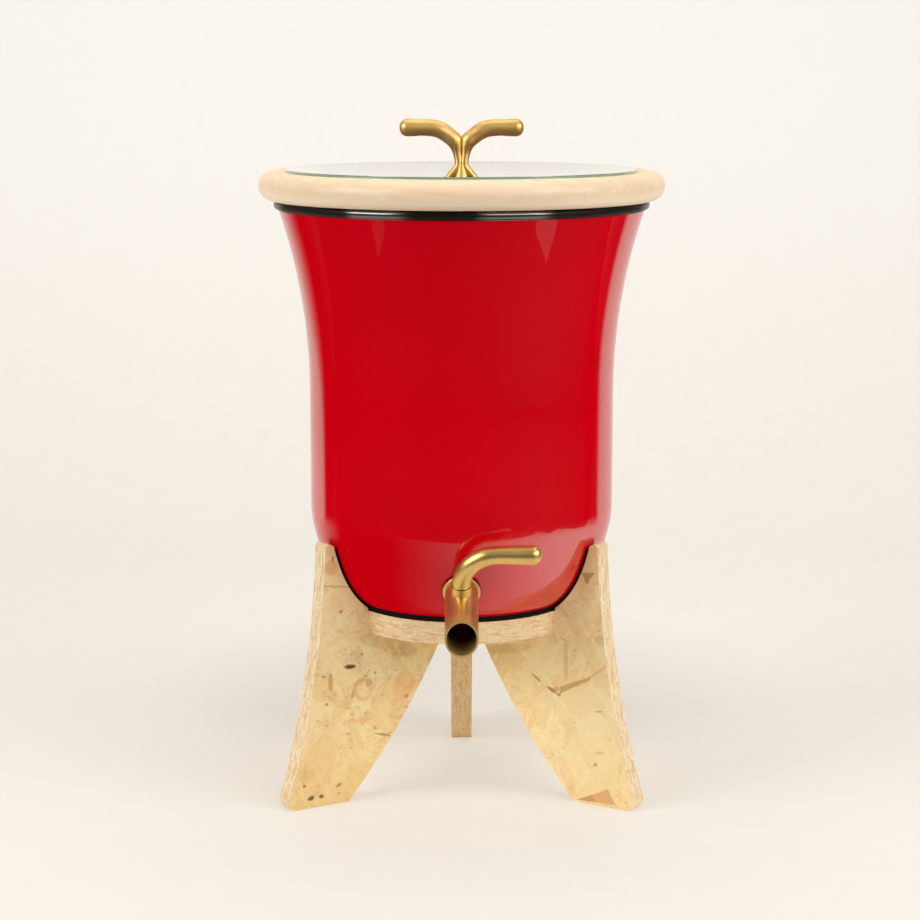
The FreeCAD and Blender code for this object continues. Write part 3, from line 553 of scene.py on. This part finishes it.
# ------------------------------------------------------------------ studio
PAPER_FLOOR = [                 # (y, reach to the left, reach to the right), from the front
    (-0.60, 0.30, 0.30), (-0.55, 0.49, 0.53), (-0.53, 0.57, 0.65), (-0.507, 0.75, 0.77),
    (-0.43, 0.69, 0.755), (-0.384, 0.72, 0.74), (-0.25, 0.82, 0.87), (0.20, 0.85, 0.88),
]
WALL_LEFT = 3.2
WALL_RIGHT = 1.9
WALL_Y = 1.5
SWEEP = 0.6                     # radius of the bend from the level sheet up to the wall
SWEEP_STEPS = 12
WALL_TOP = 2.6
ROOM = 8.0
ROOM_FLOOR_Z = -4 * MM
LAMP_TINT = (1.0, 0.985, 0.96)
WORLD_GREY = colour(72, 70, 67)
ROOM_GREYS = (colour(88, 85, 81), colour(82, 79, 75))
PAPER_TONES = (colour(243, 240, 234), colour(242, 238, 232))
PAPER_PAINTED_LIGHT_LOW = colour(236, 229, 219)
PAPER_PAINTED_LIGHT_HIGH = colour(250, 247, 242)
PAPER_PAINTED_LIGHT_FROM = 0.6           # painted light: height from which the paper is shown at its palest
PAPER_SHARE = 0.5               # of the paper's own colour in what is seen of it
PAPER_PAINTED_SHADE = colour(58, 55, 52)
PAPER_FADE_LEFT = (-3.2, -1.0)  # painted shade: the paper darkens to its shade colour over these stretches
PAPER_FADE_RIGHT = (1.2, 2.9)
PAPER_PAINTED_SHADOW = colour(150, 145, 132)
PAPER_PAINTED_SHADOW_Y = 0.28             # painted shadow: the paper is a little darker and duller round this place behind the stand
PAPER_PAINTED_SHADOW_REACH = (0.1, 0.34)
PAPER_PAINTED_SHADOW_SHARE = 0.2
LAMPS = [                       # (name, bearing, climb, distance, size, watts, aim)
    ("top_light", 0, 90, 2.0, (2.4, 2.4), 13, (0, 0.1, 0.1)),
    ("left_light", -60, 25, 2.2, (1.3, 1.0), 32, (0, 0, 0.3)),
    ("right_light", 60, 25, 2.2, (1.3, 1.0), 27, (0, 0, 0.3)),
    ("front_light", 28, 27, 2.3, (1.0, 0.8), 9.5, (0, 0, 0.3)),
    ("wall_light", 0, 50, 2.0, (2.4, 0.5), 14, (0, 1.5, 0.8)),
]


def mesh_object(name, points, faces):
    mesh = bpy.data.meshes.new(name)
    mesh.from_pydata(points, [], faces)
    mesh.update()
    made = bpy.data.objects.new(name, mesh)
    bpy.context.scene.collection.objects.link(made)
    return made


def paper_material():
    """Pale paper; part of what the camera and reflections see of it is its own colour, with painted
    light higher up, a painted shadow behind the stand and painted shade toward the sides.
    """
    paint = Paint("paper")
    place = paint.place()
    fibre = paint.noise(place, scale=40, detail=2.0)
    tone = paint.mix(paint.ramp(fibre, 0.3, 0.7), *PAPER_TONES)
    across, _, height = paint.split(place)
    # painted light: the paper is shown paler higher up the wall
    shown = paint.mix(paint.ramp(height, 0.0, PAPER_PAINTED_LIGHT_FROM), PAPER_PAINTED_LIGHT_LOW, PAPER_PAINTED_LIGHT_HIGH)
    # painted shade: the paper darkens toward its sides
    aside = paint.math("MAXIMUM", paint.ramp(across, *PAPER_FADE_LEFT, 1.0, 0.0),
                       paint.ramp(across, *PAPER_FADE_RIGHT))
    # painted shadow on the paper behind the stand
    behind = paint.moved(place, shift=(0, -PAPER_PAINTED_SHADOW_Y, 0))
    painted_shadow = paint.ramp(paint.from_axis(behind), *PAPER_PAINTED_SHADOW_REACH, PAPER_PAINTED_SHADOW_SHARE, 0.0)
    tone = paint.mix(painted_shadow, tone, PAPER_PAINTED_SHADOW)
    shown = paint.mix(painted_shadow, shown, PAPER_PAINTED_SHADOW)
    tone = paint.mix(aside, tone, PAPER_PAINTED_SHADE)
    shown = paint.mix(aside, shown, PAPER_PAINTED_SHADE)
    paint.set(Base_Color=tone, Roughness=0.9, Specular_IOR_Level=0.1)
    light = paint.add("Emission", {"Color": shown})
    rays = paint.add("LightPath", {}).outputs
    seen = paint.math("MAXIMUM", rays["Is Camera Ray"], rays["Is Glossy Ray"])
    seen = paint.math("MAXIMUM", seen, rays["Is Transmission Ray"])
    both = paint.add("MixShader", {0: paint.math("MULTIPLY", seen, PAPER_SHARE),
                                   1: paint.shader.outputs[0], 2: light.outputs[0]})
    output = paint.tree.nodes["Material Output"]
    paint.tree.links.new(both.outputs[0], output.inputs["Surface"])
    return paint.material


def paper_sweep():
    """Pale sheet that runs level under the object and turns up behind it."""
    rows = [(y, 0.0, left, right) for y, left, right in PAPER_FLOOR]
    for step in range(SWEEP_STEPS + 1):
        turn = math.radians(90 * step / SWEEP_STEPS)
        y = WALL_Y - SWEEP + SWEEP * math.sin(turn)
        z = SWEEP * (1 - math.cos(turn))
        rows.append((y, z, WALL_LEFT, WALL_RIGHT))
    rows.append((WALL_Y, WALL_TOP, WALL_LEFT, WALL_RIGHT))
    points = []
    for y, z, left, right in rows:
        points += [(-left, y, z), (right, y, z)]
    faces = [(2 * i, 2 * i + 1, 2 * i + 3, 2 * i + 2) for i in range(len(rows) - 1)]
    sheet = mesh_object("paper_sweep", points, faces)
    for polygon in sheet.data.polygons:
        polygon.use_smooth = True
    sheet.data.materials.append(paper_material())


def room_floor():
    corners = [(-ROOM, -ROOM), (ROOM, -ROOM), (ROOM, ROOM), (-ROOM, ROOM)]
    floor = mesh_object("room_floor", [(x, y, ROOM_FLOOR_Z) for x, y in corners], [(0, 1, 2, 3)])
    floor.data.materials.append(plain("room_grey", *ROOM_GREYS, 0.8))


def softbox(name, bearing, climb, distance, size, watts, aim):
    """Flat lamp at a bearing from the front (-Y, positive to the right) and a climb, in degrees.

    It stands `distance` from the point it aims at.
    """
    bearing = math.radians(bearing)
    climb = math.radians(climb)
    away = Vector((math.sin(bearing) * math.cos(climb), -math.cos(bearing) * math.cos(climb),
                   math.sin(climb)))
    lamp = bpy.data.lights.new(name, "AREA")
    lamp.shape = "RECTANGLE"
    lamp.size, lamp.size_y = size
    lamp.energy = watts
    lamp.color = LAMP_TINT
    made = bpy.data.objects.new(name, lamp)
    made.location = Vector(aim) + away * distance
    made.rotation_euler = (-away).to_track_quat("-Z", "Y").to_euler()
    bpy.context.scene.collection.objects.link(made)


def studio():
    paper_sweep()
    room_floor()
    for lamp in LAMPS:
        softbox(*lamp)
    world = bpy.data.worlds.new("room")
    world.use_nodes = True
    world.node_tree.nodes["Background"].inputs["Color"].default_value = WORLD_GREY
    bpy.context.scene.world = world


LENS = 86.34                    # mm
SENSOR = 36.0                   # mm wide
CAMERA_PLACE = (-1.28 * MM, -1798.06 * MM, 593.15 * MM)
CAMERA_DIP = 10.09              # degrees below level


def camera():
    """Camera solved from the photograph's ellipses and feet."""
    lens = bpy.data.cameras.new("camera")
    lens.lens = LENS
    lens.sensor_width = SENSOR
    made = bpy.data.objects.new("camera", lens)
    made.location = CAMERA_PLACE
    made.rotation_euler = (math.radians(90 - CAMERA_DIP), 0, 0)
    bpy.context.scene.collection.objects.link(made)
    bpy.context.scene.camera = made


finish_nodes()
studio()
camera()
bpy.context.scene.view_settings.view_transform = "Standard"
